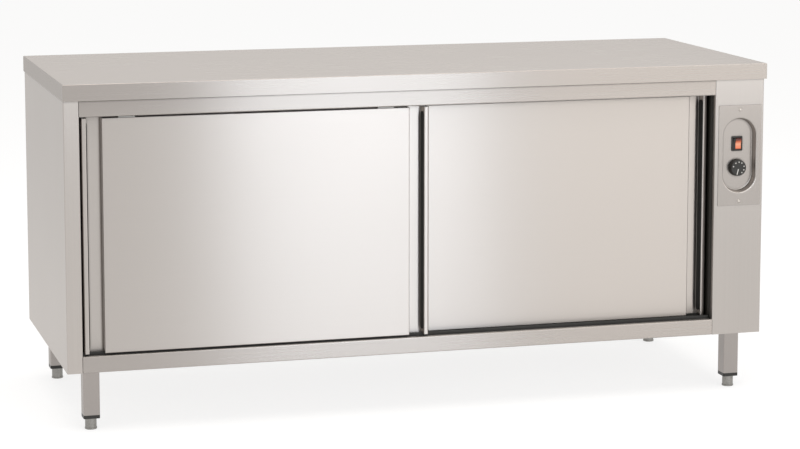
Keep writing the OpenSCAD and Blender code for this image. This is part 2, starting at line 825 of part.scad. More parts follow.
// Controls
// Local frame on the face of the control stile: X right, Y up, Z out to the front
module at_controls() translate([control_x, body_front, control_z]) rotate([90, 0, 0]) children();

module screw_holes(r) at_controls() for (s = [-1, 1])
    translate([0, s * screw_offset, -4 * plate_t]) cylinder(h = 8 * plate_t, r = r);

// Leaning wall of the recess, from the plate's face over the rim to the middle of its floor
module dish_section()
    folded([[dish_r + rim_w, plate_t], [dish_r, plate_t],
            [dish_r - dish_draft, plate_t - dish_depth],
            [0, plate_t - dish_depth]], plate_t, dish_fold_r);

module dish() {
    for (a = [0, 180]) rotate(a) {
        translate([0, dish_straight / 2, 0]) rotate_extrude(angle = 180) dish_section();
        rotate([90, 0, 0]) linear_extrude(dish_straight, center = true) dish_section();
    }
}

module control_plate() color(steel) difference() {
    at_controls() {
        linear_extrude(plate_t) difference() {
            square([plate_w, plate_h], center = true);
            stadium(2 * (dish_r + rim_w), dish_h + 2 * rim_w);
        }
        dish();
    }
    screw_holes(screw_r + 0.1);
    translate([control_x, dish_front - eps, knob_z]) rotate([-90, 0, 0])
        cylinder(h = plate_t + 2 * eps, r = spindle_r + 1);
    block([control_x - switch_body_w() / 2 - body_hole_gap, dish_front - eps,
           switch_z - switch_body_h() / 2 - body_hole_gap],
          [control_x + switch_body_w() / 2 + body_hole_gap, dish_back + eps,
           switch_z + switch_body_h() / 2 + body_hole_gap]);
}

module control_screws() color(zinc) at_controls() for (s = [-1, 1])
    translate([0, s * screw_offset, 0]) {
        difference() {
            translate([0, 0, plate_t]) cylinder(h = 1.6, r1 = 2 * screw_r, r2 = 1.5 * screw_r, $fn = 32);
            translate([-2 * screw_r, -0.4, plate_t + 0.9]) cube([4 * screw_r, 0.8, 2]);
        }
        translate([0, 0, -8]) cylinder(h = 8 + plate_t, r = screw_r);
    }

// Switch with a rocker on a cross pin
function switch_body_w() = rocker_w + 2 * (rocker_clearance + switch_wall);
function switch_body_h() = 2 * (rocker_r + rocker_clearance + switch_wall);

module at_rocker() translate([control_x, rocker_pivot_y, switch_z]) children();

module switch_body() color(dark_plastic) difference() {
    union() {
        block([control_x - bezel_w / 2, dish_front - bezel_t, switch_z - bezel_h / 2],
              [control_x + bezel_w / 2, dish_front, switch_z + bezel_h / 2]);
        block([control_x - switch_body_w() / 2, dish_front - eps,
               switch_z - switch_body_h() / 2],
              [control_x + switch_body_w() / 2, dish_front + switch_depth,
               switch_z + switch_body_h() / 2]);
    }
    at_rocker() block(
        [-rocker_w / 2 - rocker_clearance, -20, -rocker_r - rocker_clearance],
        [rocker_w / 2 + rocker_clearance, rocker_back + 3, rocker_r + rocker_clearance]);
    at_rocker() rotate([0, 90, 0])
        cylinder(h = rocker_w + 2 * rocker_clearance + 2, r = 1.5 + rocker_clearance / 3, center = true);
}

// Rocker seen from its end: round ends about the pin and a shallow V in front
module rocker_section() intersection() {
    circle(rocker_r);
    polygon([[-rocker_front, 0], [-rocker_peak, rocker_r], [rocker_back, rocker_r],
             [rocker_back, -rocker_r], [-rocker_peak, -rocker_r]]);
}

module switch_rocker() color(amber) at_rocker() rotate([rocker_tilt, 0, 0]) {
    along_x(-rocker_w / 2, rocker_w / 2) rocker_section();
    rotate([0, 90, 0]) cylinder(h = rocker_w + 2 * rocker_clearance + 1.4, r = 1.5, center = true);
}

// Thermostat behind the recess, with its knob, bulb and capillary tube
module thermostat_body() color(zinc) difference() {
    block([control_x - thermostat_w / 2, dish_back, knob_z - thermostat_w / 2],
          [control_x + thermostat_w / 2, dish_back + thermostat_d, knob_z + thermostat_w / 2]);
    translate([control_x, dish_back - eps, knob_z]) rotate([-90, 0, 0])
        cylinder(h = thermostat_d * 0.7 + eps, r = spindle_r + spindle_clearance);
}

module thermostat_knob() color(dark_plastic)
    translate([control_x, dish_front - knob_gap, knob_z]) rotate([90, 0, 0]) {
        rotate_extrude($fn = 64) polygon([
            [0, 0], [knob_r, 0], [knob_r, 2.5], [knob_r - 0.8, 3.3],
            [knob_r - 1.6, knob_h - 1.2], [knob_r - 2.8, knob_h], [0, knob_h]]);
        translate([0, 0, -knob_gap - plate_t - thermostat_d * 0.6])
            cylinder(h = knob_gap + plate_t + thermostat_d * 0.6 + 2, r = spindle_r);
    }

module thermostat_probe() color(copper) {
    x = compartment_x + bulb_r + 1;
    y = fan_y - fan_r - bulb_from_fan;
    z = fan_z + bulb_rise;
    top = knob_z - capillary_drop;
    entry_x = control_x - capillary_side;
    translate([x, y, z]) cylinder(h = bulb_l, r = bulb_r);
    for (dz = [bulb_clip_w, bulb_l - 2 * bulb_clip_w])
        block([compartment_x, y - bulb_clip_w / 2, z + dz],
              [x, y + bulb_clip_w / 2, z + dz + bulb_clip_w]);
    bar([[x, y, z + bulb_l - eps], [x, y, top], [entry_x, y, top],
         [entry_x, dish_back + thermostat_d, top]], capillary_r);
}

// Fan heater, with its shaft along X
module at_fan(x) translate([x, fan_y, fan_z]) rotate([0, 90, 0]) children();

module fan_bracket() color(zinc) difference() {
    union() {
        block([motor_plate_x, fan_y - motor_plate_w / 2, fan_z - motor_plate_w / 2],
              [motor_x, fan_y + motor_plate_w / 2, fan_z + motor_plate_w / 2]);
        for (sy = [-1, 1], sz = [-1, 1])
            translate([0, sy * post_offset, sz * post_offset])
                at_fan(compartment_x) cylinder(h = post_l + eps, r = post_r);
    }
    at_fan(motor_plate_x - eps) cylinder(h = motor_plate_t + 2 * eps, r = shaft_r + 3);
    for (s = [-1, 1]) translate([0, s * ring_r * sin(ring_gap / 2), ring_r * cos(ring_gap / 2)])
        at_fan(motor_plate_x - eps)
            cylinder(h = motor_plate_t + 2 * eps, r = element_r + 0.3);
}

module fan_motor() color(zinc) difference() {
    union() {
        at_fan(motor_x) cylinder(h = motor_l, r = motor_r);
        at_fan(motor_x + motor_l - eps) cylinder(h = motor_cap_l + eps, r = 3 * shaft_r);
    }
    at_fan(motor_x - eps) cylinder(h = motor_l - 4, r = shaft_r + shaft_clearance);
}

module fan_impeller() color(zinc) {
    disc_t = 2;
    disc_x = blade_front + blade_w;
    at_fan(disc_x) cylinder(h = disc_t, r = fan_r, $fn = 96);
    at_fan(blade_front + 4) cylinder(h = blade_w - 2, r = 12);
    at_fan(blade_front) cylinder(h = motor_x + motor_l - 10 - blade_front, r = shaft_r);
    translate([0, fan_y, fan_z]) for (i = [0 : blade_count - 1])
        rotate([360 * i / blade_count, 0, 0])
            block([blade_front, fan_r * 0.5, -0.75], [disc_x + eps, fan_r, 0.75]);
}

// Ring element round the fan wheel; its ends turn back through the motor plate
module heater_element() color(copper) {
    at_fan(ring_x) rotate(180 + ring_gap / 2)
        rotate_extrude(angle = 360 - ring_gap) translate([ring_r, 0]) circle(element_r, $fn = 32);
    for (s = [-1, 1])
        translate([0, s * ring_r * sin(ring_gap / 2), ring_r * cos(ring_gap / 2)]) {
            at_fan(ring_x) sphere(elbow_r, $fn = 32);
            at_fan(ring_x) cylinder(h = element_end - ring_x, r = element_r, $fn = 32);
            at_fan(motor_x) cylinder(h = 4, r = element_r + 3);
        }
}

// Mains side
module terminal_block() color(nylon) {
    low = [block_x - block_w / 2, block_y - block_d / 2, bottom_z + sheet];
    difference() {
        block(low, low + [block_w, block_d, block_h]);
        for (i = [0 : 4]) translate(low + [block_w * (i + 0.5) / 5, block_d / 2, block_h - 6])
            cylinder(h = 7, r = 3);
    }
}

module cable_gland() color(dark_plastic) translate([gland_x, gland_y, bottom_z]) difference() {
    union() {
        translate([0, 0, -gland_hex_h]) cylinder(h = gland_hex_h, r = gland_r + 4, $fn = 6);
        translate([0, 0, -gland_drop])
            cylinder(h = gland_drop - gland_hex_h + eps, r = gland_r + 1);
        translate([0, 0, -eps]) cylinder(h = gland_l - gland_drop + eps, r = gland_r);
        translate([0, 0, sheet]) cylinder(h = gland_nut_h, r = gland_r + 4, $fn = 6);
    }
    translate([0, 0, -gland_drop - eps]) cylinder(h = gland_l + 2 * eps, r = gland_bore_r);
}

// Wires from the terminal block up the right side to each consumer
module wiring_loom() color(black_rubber) {
    x = body_right - sheet - loom_gap;
    y = block_y;
    z0 = bottom_z + sheet + block_h / 2;
    z1 = fan_z + motor_plate_w / 2 + loom_rise;
    y1 = dish_back + switch_depth + loom_rise;
    thermostat_z = knob_z + capillary_drop;
    thermostat_x = control_x + capillary_side;
    element_z = fan_z + ring_r * cos(ring_gap / 2);
    dy = ring_r * sin(ring_gap / 2);
    bar([[block_x + block_w / 2, y, z0], [x, y, z0], [x, y, z1], [x, y1, z1],
         [x, y1, switch_z], [control_x, y1, switch_z],
         [control_x, dish_front + switch_depth, switch_z]], loom_r);
    bar([[x, y1, thermostat_z], [thermostat_x, y1, thermostat_z],
         [thermostat_x, dish_back + thermostat_d, thermostat_z]], branch_r);
    bar([[x, fan_y, z1], [x, fan_y, fan_z], [motor_x + motor_l + motor_cap_l, fan_y, fan_z]],
        branch_r);
    for (s = [-1, 1])
        bar([[x, fan_y + s * dy, z1], [x, fan_y + s * dy, element_z],
             [element_end, fan_y + s * dy, element_z]], branch_r);
}

worktop();
worktop_core();
left_side_panel();
right_side_panel();
back_panel();
bottom_panel();
top_rail();
bottom_rail();
inner_left_wall();
inner_back_wall();
inner_roof();
inner_floor();
heater_partition();
insulation();
door_track();
door_guide_rail();
shelf_uprights();
shelf_clips();
shelf();
front_left_leg();
front_right_leg();
rear_left_leg();
rear_right_leg();
leg_inserts();
front_left_foot();
front_right_foot();
rear_left_foot();
rear_right_foot();
left_door_face();
left_door_back();
left_door_core();
left_door_grips();
left_door_grip_strips();
left_door_hangers();
left_door_shoes();
left_door_left_roller();
left_door_right_roller();
right_door_face();
right_door_back();
right_door_core();
right_door_grips();
right_door_grip_strips();
right_door_hangers();
right_door_shoes();
right_door_left_roller();
right_door_right_roller();
control_plate();
control_screws();
switch_body();
switch_rocker();
thermostat_body();
thermostat_knob();
thermostat_probe();
fan_bracket();
fan_motor();
fan_impeller();
heater_element();
terminal_block();
wiring_loom();
cable_gland();
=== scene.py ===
# %% [markdown]
# # A heated plate cabinet in brushed stainless steel
#
# This lesson dresses a catering cupboard: a folded worktop on a double-walled body, two
# sliding doors, a recessed control panel and four square legs. Its sizes come from the CAD
# model, which is loaded first and never moved. What is left to do here is what the CAD
# model can't say: how each surface was made, what light it stands in, and the few small
# pieces, such as the knob and the switch, whose soft edges are easier to shape as meshes.

# %% Load the frame
import json
import math

import bmesh
import bpy
from mathutils import Matrix, Vector


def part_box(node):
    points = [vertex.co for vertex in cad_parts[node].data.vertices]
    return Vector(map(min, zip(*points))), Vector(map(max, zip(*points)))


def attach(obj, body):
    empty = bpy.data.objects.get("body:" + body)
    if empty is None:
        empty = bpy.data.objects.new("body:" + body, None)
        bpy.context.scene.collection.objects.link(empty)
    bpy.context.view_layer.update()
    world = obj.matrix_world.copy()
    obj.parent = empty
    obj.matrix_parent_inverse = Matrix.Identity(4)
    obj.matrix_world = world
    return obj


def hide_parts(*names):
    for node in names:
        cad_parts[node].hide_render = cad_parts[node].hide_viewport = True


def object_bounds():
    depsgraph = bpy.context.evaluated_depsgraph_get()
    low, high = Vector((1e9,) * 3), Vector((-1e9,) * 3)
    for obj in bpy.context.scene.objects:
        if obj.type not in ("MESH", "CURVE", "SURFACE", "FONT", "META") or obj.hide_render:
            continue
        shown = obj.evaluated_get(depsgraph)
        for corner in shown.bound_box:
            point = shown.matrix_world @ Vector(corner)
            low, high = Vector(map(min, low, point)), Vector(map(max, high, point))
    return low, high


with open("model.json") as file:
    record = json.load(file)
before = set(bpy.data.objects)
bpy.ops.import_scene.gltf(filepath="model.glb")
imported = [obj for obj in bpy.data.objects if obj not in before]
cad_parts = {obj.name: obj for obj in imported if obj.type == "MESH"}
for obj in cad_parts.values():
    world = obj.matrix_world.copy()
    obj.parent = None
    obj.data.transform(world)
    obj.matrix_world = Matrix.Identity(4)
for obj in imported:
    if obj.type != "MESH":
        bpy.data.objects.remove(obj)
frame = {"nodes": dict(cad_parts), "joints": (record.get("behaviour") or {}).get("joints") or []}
cad_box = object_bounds()
nodes = frame["nodes"]
MM = 0.001

# %% [markdown]
# ## Colours and nodes
#
# Colours are written as the hex values that a paint program shows. The render engine
# works with light, which is linear, so one function turns each hex value into linear red,
# green and blue. A second function adds one node to a tree, sets it up and wires it, so
# that each material below reads as a list of what it is made of.

# %% Two helpers for materials
def linear(hex_colour, alpha=1.0):
    """An sRGB hex colour as linear red, green, blue and alpha."""
    values = [int(hex_colour[i:i + 2], 16) / 255 for i in (1, 3, 5)]
    return tuple(v / 12.92 if v <= 0.04045 else ((v + 0.055) / 1.055) ** 2.4
                 for v in values) + (alpha,)


def add(tree, kind, inputs=None, **settings):
    """A new node; an input given as another node's output is linked, any other is set."""
    node = tree.nodes.new("ShaderNode" + kind)
    for name, value in settings.items():
        setattr(node, name, value)
    for key, value in (inputs or {}).items():
        if isinstance(value, bpy.types.NodeSocket):
            tree.links.new(value, node.inputs[key])
        else:
            node.inputs[key].default_value = value
    return node


def ramp(tree, factor, stops):
    """A colour ramp through stops of position and colour."""
    node = add(tree, "ValToRGB", {"Fac": factor})
    points = node.color_ramp.elements
    points.remove(points[-1])
    points[0].position, points[0].color = stops[0]
    for position, colour in stops[1:]:
        points.new(position).color = colour
    return node


def start_material(name):
    """An empty material and its node tree."""
    material = bpy.data.materials.new(name)
    material.use_nodes = True
    material.node_tree.nodes.clear()
    return material, material.node_tree


def finish_material(tree, **inputs):
    """The surface shader, wired to the output. Input names are written with underscores."""
    named = {name.replace("_", " "): value for name, value in inputs.items()}
    shader = add(tree, "BsdfPrincipled", named)
    add(tree, "OutputMaterial", {"Surface": shader.outputs[0]})
    return shader


print("steel grey in light:", [round(v, 3) for v in linear("#aba5a0")])

# %% [markdown]
# ## Brushed stainless steel
#
# The outside is grade 304 sheet with a brushed finish. An abrasive belt leaves fine
# parallel scratches, and they do two things to the eye. Across the scratches a reflection
# is smeared wide, and along them it stays narrow, so lamps turn into soft bands. Close up,
# the scratches also show as faint streaks. The first effect is the shader's anisotropy,
# whose tangent has to run across the scratches, in the sheet. It is found as the surface's
# normal crossed with the direction of the grain, so it holds on every fold. The grain's
# direction leans by one degree, because a face that is square to it, such as the end of
# the worktop, has no other direction to take; there the sheet is folded down, and its
# scratches run down with it. The second effect is a noise that is stretched along the
# grain. Real scratches are about 0.1 mm apart, which is too fine to show from six metres,
# so they are drawn 2.5 mm apart and very faint. In the joints between two sheets little
# light gets in, so the colour is darkened over the last few millimetres, as painted shade.
# The colours are written darker than clean steel is, as a painted reflection: in a plain
# white room steel mirrors white on every side, and a real kitchen or workshop has darker
# things in it. Each part has its own copy, lighter or darker as that part looks in its light,
# and the legs' copy is darkest, as painted shade.

# %% Brushed steel in two grain directions
GRAIN_AXES = {"x": (1, 0, 0.02), "z": (0.02, 0, 1)}
STREAK_WIDTH = 2.5 * MM
STREAK_LENGTH = 600 * MM
SMEAR_SIZE = 240 * MM
# painted shade: how far from a joint the colour darkens, and the near black it darkens to
JOINT_SHADE = 7 * MM
PAINTED_JOINT_SHADE = "#2e2a27"
POLISH_LOW, POLISH_HIGH = 0.6, 1.4


def grained(tree, grain, width, length):
    """Noise in streaks along the grain, from object coordinates in metres."""
    place = add(tree, "TexCoord")
    scale = [1 / length if lean > 0.5 else 1 / width for lean in GRAIN_AXES[grain]]
    stretched = add(tree, "Mapping", {"Vector": place.outputs["Object"], "Scale": scale})
    return add(tree, "TexNoise", {"Vector": stretched.outputs[0], "Scale": 1.0,
                                  "Detail": 3.0, "Roughness": 0.6})


def across_grain(tree, grain):
    """The direction in the surface that runs across the grain."""
    surface = add(tree, "NewGeometry")
    return add(tree, "VectorMath", {0: surface.outputs["Normal"], 1: GRAIN_AXES[grain]},
               operation="CROSS_PRODUCT")


def brushed_steel(name, grain, light_hex, dark_hex, roughness, anisotropy, spread=0.01):
    """Steel brushed along an axis, whose roughness wanders by the spread."""
    material, tree = start_material(name)
    streaks = grained(tree, grain, STREAK_WIDTH, STREAK_LENGTH)
    place = add(tree, "TexCoord")
    smears = add(tree, "TexNoise", {"Vector": place.outputs["Object"],
                                    "Scale": 1 / SMEAR_SIZE, "Detail": 2.0})
    colour = add(tree, "Mix", {"Factor": streaks.outputs["Fac"], 6: linear(dark_hex),
                               7: linear(light_hex)}, data_type="RGBA")
    polish = add(tree, "Math", {0: streaks.outputs["Fac"], 1: smears.outputs["Fac"]},
                 operation="ADD")
    rough = add(tree, "MapRange", {"Value": polish.outputs[0], "From Min": POLISH_LOW,
                                   "From Max": POLISH_HIGH,
                                   "To Min": roughness - spread,
                                   "To Max": roughness + spread})
    # painted shade: the colour is mixed towards near black where other surfaces lie within 7 mm
    open_sky = add(tree, "AmbientOcclusion", {"Distance": JOINT_SHADE}, samples=8)
    shaded = add(tree, "Mix", {"Factor": open_sky.outputs["AO"], 6: linear(PAINTED_JOINT_SHADE),
                               7: colour.outputs[2]}, data_type="RGBA")
    finish_material(tree, Base_Color=shaded.outputs[2], Roughness=rough.outputs[0],
                    Metallic=1.0, Anisotropic=anisotropy,
                    Tangent=across_grain(tree, grain).outputs[0])
    return material


# painted light and shade: each part's copy is lighter or darker as that part looks in its light;
# the legs' darker copy is painted shade
steel = {
    "long": brushed_steel("stainless_brushed_lengthwise", "x", "#aba5a0", "#a59f9a", 0.27, 1.0),
    "door": brushed_steel("stainless_brushed_door", "x", "#b6b0ab", "#b4aea9", 0.29, 1.0),
    "upright": brushed_steel("stainless_brushed_upright", "z", "#b9b3ae", "#b3ada8", 0.30, 0.8),
    "panel": brushed_steel("stainless_brushed_panel", "z", "#aca6a1", "#a8a29d", 0.22, 0.5),
    "tube": brushed_steel("stainless_square_tube_painted_shade", "z", "#a39d99", "#9e9894", 0.30, 0.8),
    "back": brushed_steel("stainless_brushed_back", "x", "#b8b3af", "#b3aeaa", 0.38, 0.7),
}
print("brushed steel:", ", ".join(sorted(steel)))

# %% [markdown]
# ## The other metals
#
# The liner is plain cold-rolled steel, matt, with no grain to speak of. The track, the
# shelf clips and the fan are zinc plated: the plating grows in small bluish grains, which a
# cell pattern of a few millimetres shows. The feet and the hangers are galvanised and have
# gone dull grey, the screws are bright turned steel, and the heater's sheath has taken a
# brown tint from the heat.

# %% Liner, zinc, turned steel, dull zinc, sheath and copper
METAL_SWING = 0.08


def cellular_metal(name, light_hex, dark_hex, cell, roughness):
    """A metal with a mottled skin, in cells of a real size in metres."""
    material, tree = start_material(name)
    place = add(tree, "TexCoord")
    cells = add(tree, "TexVoronoi", {"Vector": place.outputs["Object"], "Scale": 1 / cell})
    clouds = add(tree, "TexNoise", {"Vector": place.outputs["Object"],
                                    "Scale": 0.2 / cell, "Detail": 4.0})
    mottle = add(tree, "Math", {0: cells.outputs["Distance"], 1: clouds.outputs["Fac"]},
                 operation="MULTIPLY")
    colour = add(tree, "Mix", {"Factor": mottle.outputs[0], 6: linear(light_hex),
                               7: linear(dark_hex)}, data_type="RGBA")
    rough = add(tree, "MapRange", {"Value": clouds.outputs["Fac"],
                                   "To Min": roughness - METAL_SWING,
                                   "To Max": roughness + METAL_SWING})
    relief = add(tree, "Bump", {"Height": mottle.outputs[0], "Strength": 0.1,
                                "Distance": 0.02 * MM})
    finish_material(tree, Base_Color=colour.outputs[2], Roughness=rough.outputs[0],
                    Normal=relief.outputs[0], Metallic=1.0)
    return material


liner_steel = cellular_metal("stainless_mill_finish", "#dedad5", "#c9c5c0", 6 * MM, 0.42)
zinc = cellular_metal("zinc_plated_steel", "#c3c6ca", "#9ea2a7", 4 * MM, 0.38)
turned_steel = cellular_metal("turned_steel", "#c6c0b9", "#aaa49d", 2 * MM, 0.34)
dull_zinc = cellular_metal("dull_galvanised_steel", "#9a9894", "#6f6d69", 3 * MM, 0.40)
heater_sheath = cellular_metal("heat_tinted_sheath", "#8a7a6c", "#5b4c42", 8 * MM, 0.45)
copper = cellular_metal("copper_capillary", "#c98a63", "#9a6243", 5 * MM, 0.35)
print("plain metals: liner, zinc, turned steel, dull zinc, sheath, copper")

# %% [markdown]
# ## Plastics, rubber and the filling
#
# The knob, the bezel and the leg inserts are moulded black plastic with a fine spark
# texture, so they are dark and only faintly glossy. The strips in the grips are rubber,
# which is rougher still, and their black also stands in for the deep shade in the grip
# channels, as painted shade. Nylon is milky. Mineral wool is a mat of yellow fibres, and
# the board in the worktop is pressed from chips. One function makes them all, because each
# is a colour, a grain of a real size and a roughness.

# %% Moulded, pressed and fibrous materials
PLASTIC_SWING = 0.06


def speckled(name, light_hex, dark_hex, grain_size, roughness, depth, stretch=(1, 1, 1)):
    """A dull material whose colour and relief follow a grain of a real size in metres."""
    material, tree = start_material(name)
    place = add(tree, "TexCoord")
    shaped = add(tree, "Mapping", {"Vector": place.outputs["Object"], "Scale": stretch})
    grain = add(tree, "TexNoise", {"Vector": shaped.outputs[0], "Scale": 1 / grain_size,
                                   "Detail": 3.0, "Roughness": 0.55})
    colour = add(tree, "Mix", {"Factor": grain.outputs["Fac"], 6: linear(dark_hex),
                               7: linear(light_hex)}, data_type="RGBA")
    rough = add(tree, "MapRange", {"Value": grain.outputs["Fac"],
                                   "To Min": roughness - PLASTIC_SWING,
                                   "To Max": roughness + PLASTIC_SWING})
    relief = add(tree, "Bump", {"Height": grain.outputs["Fac"], "Strength": 0.3,
                                "Distance": depth})
    finish_material(tree, Base_Color=colour.outputs[2], Roughness=rough.outputs[0],
                    Normal=relief.outputs[0])
    return material


black_plastic = speckled("moulded_black_abs", "#26241f", "#191815", 0.6 * MM, 0.42, 0.03 * MM)
# partly painted shade: the black rubber strips also stand in for the deep shade in the grip
# channels
rubber = speckled("black_epdm_strip_and_channel_shade", "#1b1a18", "#121110", 1.2 * MM, 0.68, 0.05 * MM)
wire_jacket = speckled("black_pvc_jacket", "#2a2825", "#1d1b19", 1.0 * MM, 0.5, 0.02 * MM)
nylon = speckled("natural_nylon", "#e8e4d8", "#dcd7c8", 1.5 * MM, 0.45, 0.03 * MM)
wool = speckled("mineral_wool", "#cbb980", "#8f7d4c", 3.0 * MM, 0.95, 0.8 * MM, (0.2, 0.2, 1))
chipboard = speckled("chipboard", "#c79f68", "#8c6536", 4.0 * MM, 0.85, 0.2 * MM)
print("plastics, rubber, wool and board")

# %% [markdown]
# ## The lit rocker
#
# The right part of the switch is an amber polycarbonate lens with a small lamp behind it.
# Polycarbonate is glossy. The lamp sits low, so the lens is brightest in its lower part
# and falls off towards the top. The glow is an emission that follows the height in the
# lens, and it is weak, because in daylight such a lamp only warms the colour. The same ramp
# is the base colour too, so the glow is also painted into the lens's colour, and its dark
# top is painted shade.

# %% Lens
# painted glow and shade: this ramp is both the emission and the lens's base colour
LENS_GLOW_PAINTED = ((0.0, "#b0502c"), (0.12, "#ee8059"), (0.45, "#f5a885"), (0.66, "#d0643c"),
               (0.8, "#6e2c1c"), (1.0, "#3a1610"))
LENS_GLOW = 0.35
POLYCARBONATE_IOR = 1.58


def lit_lens(name, centre_z, half_height):
    """Amber plastic that glows most in its lower part; the glow is also painted into its base
    colour.
    """
    material, tree = start_material(name)
    place = add(tree, "TexCoord")
    height = add(tree, "SeparateXYZ", {0: place.outputs["Object"]})
    share = add(tree, "MapRange", {"Value": height.outputs["Z"],
                                   "From Min": centre_z - half_height,
                                   "From Max": centre_z + half_height})
    glow = ramp(tree, share.outputs[0], [(at, linear(shade)) for at, shade in LENS_GLOW_PAINTED])
    finish_material(tree, Base_Color=glow.outputs[0], Emission_Color=glow.outputs[0],
                    Emission_Strength=LENS_GLOW, Roughness=0.18, IOR=POLYCARBONATE_IOR)
    return material


rocker_low, rocker_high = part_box("switch_rocker")
rocker_mid = (rocker_low + rocker_high) / 2
amber = lit_lens("amber_polycarbonate_painted_glow", rocker_mid.z, (rocker_high.z - rocker_low.z) / 2)
print("lens centred at", [round(v, 4) for v in rocker_mid])

# %% [markdown]
# ## Which node has which finish
#
# Every CAD node that stays visible gets the material of the real piece. The worktop, the
# rails and the doors with their grips are brushed along the cupboard. The side panels,
# whose stiles wrap round the corners, the control panel and the legs are brushed upright.

# %% Finishes on the CAD nodes
finishes = {
    "worktop": steel["long"], "top_rail": steel["long"], "bottom_rail": steel["long"],
    "left_side_panel": steel["upright"], "right_side_panel": steel["upright"],
    "control_plate": steel["panel"], "back_panel": steel["back"],
    "bottom_panel": steel["back"], "worktop_core": chipboard, "insulation": wool,
    "inner_left_wall": liner_steel, "inner_back_wall": liner_steel,
    "inner_roof": liner_steel, "inner_floor": liner_steel, "heater_partition": liner_steel,
    "shelf": liner_steel, "door_track": zinc, "door_guide_rail": black_plastic,
    "shelf_uprights": zinc, "shelf_clips": zinc, "control_screws": turned_steel,
    "leg_inserts": black_plastic, "switch_body": black_plastic,
    "switch_rocker": black_plastic, "thermostat_knob": black_plastic,
    "thermostat_body": zinc, "thermostat_probe": copper, "fan_bracket": zinc,
    "fan_motor": zinc, "fan_impeller": zinc, "heater_element": heater_sheath,
    "terminal_block": nylon, "wiring_loom": wire_jacket, "cable_gland": black_plastic,
}
for corner in ("front_left", "front_right", "rear_left", "rear_right"):
    finishes[corner + "_leg"] = steel["tube"]
    finishes[corner + "_foot"] = dull_zinc
for side in ("left", "right"):
    finishes[side + "_door_face"] = steel["door"]
    finishes[side + "_door_back"] = steel["back"]
    finishes[side + "_door_grips"] = steel["door"]
    finishes[side + "_door_core"] = wool
    # the black grip strips are partly painted shade for the grip channels
    finishes[side + "_door_grip_strips"] = rubber
    finishes[side + "_door_hangers"] = dull_zinc
    finishes[side + "_door_shoes"] = nylon
    finishes[side + "_door_left_roller"] = nylon
    finishes[side + "_door_right_roller"] = nylon
for name, node in nodes.items():
    node.data.materials.clear()
    node.data.materials.append(finishes[name])
print(len(finishes), "nodes finished")

# %% [markdown]
# ## Mesh helpers
#
# The small moulded pieces are built from rings of points. A ring is a closed loop with a
# fixed number of points, and two rings with the same number are joined by a band of
# quads. Stacking rings gives a lathed knob or a frame with soft edges, and no point is
# left over, because the first and the last ring are either joined or capped.

# %% Rings of points
def object_from(name, build, body, material):
    """A mesh object that build(bm) fills, riding on a CAD body."""
    bm = bmesh.new()
    build(bm)
    bmesh.ops.recalc_face_normals(bm, faces=bm.faces)
    mesh = bpy.data.meshes.new(name)
    bm.to_mesh(mesh)
    bm.free()
    mesh.shade_smooth()
    mesh.set_sharp_from_angle(angle=math.radians(35))
    mesh.materials.append(material)
    piece = bpy.data.objects.new(name, mesh)
    bpy.context.scene.collection.objects.link(piece)
    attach(piece, body)
    return piece


def stack_rings(bm, rings, cap=True, closed=False):
    """Joins rings of points by quads; caps the ends, or joins the last to the first."""
    loops = [[bm.verts.new(point) for point in ring] for ring in rings]
    pairs = list(zip(loops, loops[1:]))
    if closed:
        pairs.append((loops[-1], loops[0]))
    for one, two in pairs:
        count = len(one)
        for i in range(count):
            j = (i + 1) % count
            bm.faces.new((one[i], one[j], two[j], two[i]))
    if cap and not closed:
        bm.faces.new(loops[0])
        bm.faces.new(loops[-1])


def circle_ring(centre, radius, y, count=96):
    """A ring about an axis along Y."""
    return [(centre.x + radius * math.cos(2 * math.pi * i / count), y,
             centre.z + radius * math.sin(2 * math.pi * i / count)) for i in range(count)]


def rounded_ring(centre, width, height, radius, y, steps=6):
    """A rectangle with round corners, standing upright at depth y."""
    ring = []
    corners = ((1, 1, 0), (-1, 1, 90), (-1, -1, 180), (1, -1, 270))
    for sx, sz, start in corners:
        for k in range(steps + 1):
            a = math.radians(start + 90 * k / steps)
            ring.append((centre.x + sx * (width / 2 - radius) + radius * math.cos(a), y,
                         centre.z + sz * (height / 2 - radius) + radius * math.sin(a)))
    return ring


print("mesh helpers ready")

# %% [markdown]
# ## The knob
#
# The thermostat's knob is a plain black moulding with a soft front edge, a white pointer
# and seven white marks printed on its face. It is lathed from rings. The marks are thin
# discs, a tenth of a millimetre thick and half sunk into the face, which is thicker than
# printed ink is, so that they catch the light.

# %% Knob and its marks
knob_low, knob_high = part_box("thermostat_knob")
knob_radius = (knob_high.x - knob_low.x) / 2
knob_centre = Vector(((knob_low.x + knob_high.x) / 2, knob_low.y,
                      (knob_low.z + knob_high.z) / 2))
KNOB_PROFILE = (  # radius less than the knob's, and distance behind its front face, in mm
    (6.5, 0.15), (3.0, 0.0), (2.2, 0.15), (1.75, 0.6), (1.55, 1.2), (0.85, 11.4),
    (0.7, 11.9), (0.2, 12.3), (0.0, 12.8), (0.0, 14.8), (0.3, 15.0))
KNOB_DEPTH = 15 * MM
SHAFT_RADIUS = 3 * MM


def build_knob(bm):
    rings = [circle_ring(knob_centre, knob_radius - inset * MM, knob_low.y + back * MM)
             for inset, back in KNOB_PROFILE]
    rings.append(circle_ring(knob_centre, SHAFT_RADIUS, knob_low.y + KNOB_DEPTH))
    rings.append(circle_ring(knob_centre, SHAFT_RADIUS, knob_high.y))
    stack_rings(bm, rings)


knob = object_from("thermostat_knob_cap", build_knob, "thermostat_knob", black_plastic)
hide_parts("thermostat_knob")

white_ink = speckled("white_print", "#f4f2ee", "#e6e3dd", 0.8 * MM, 0.5, 0.01 * MM)
MARK_ANGLES = (165, 123, 87, 56, 15, -21, -54)
MARK_RADIUS = 15 * MM
POINTER_ANGLE = -105
INK = 0.1 * MM
DOT_RADIUS = 1.65 * MM
POINTER_HALF_WIDTH = 1.2 * MM
POINTER_START, POINTER_END = 3 * MM, 18 * MM


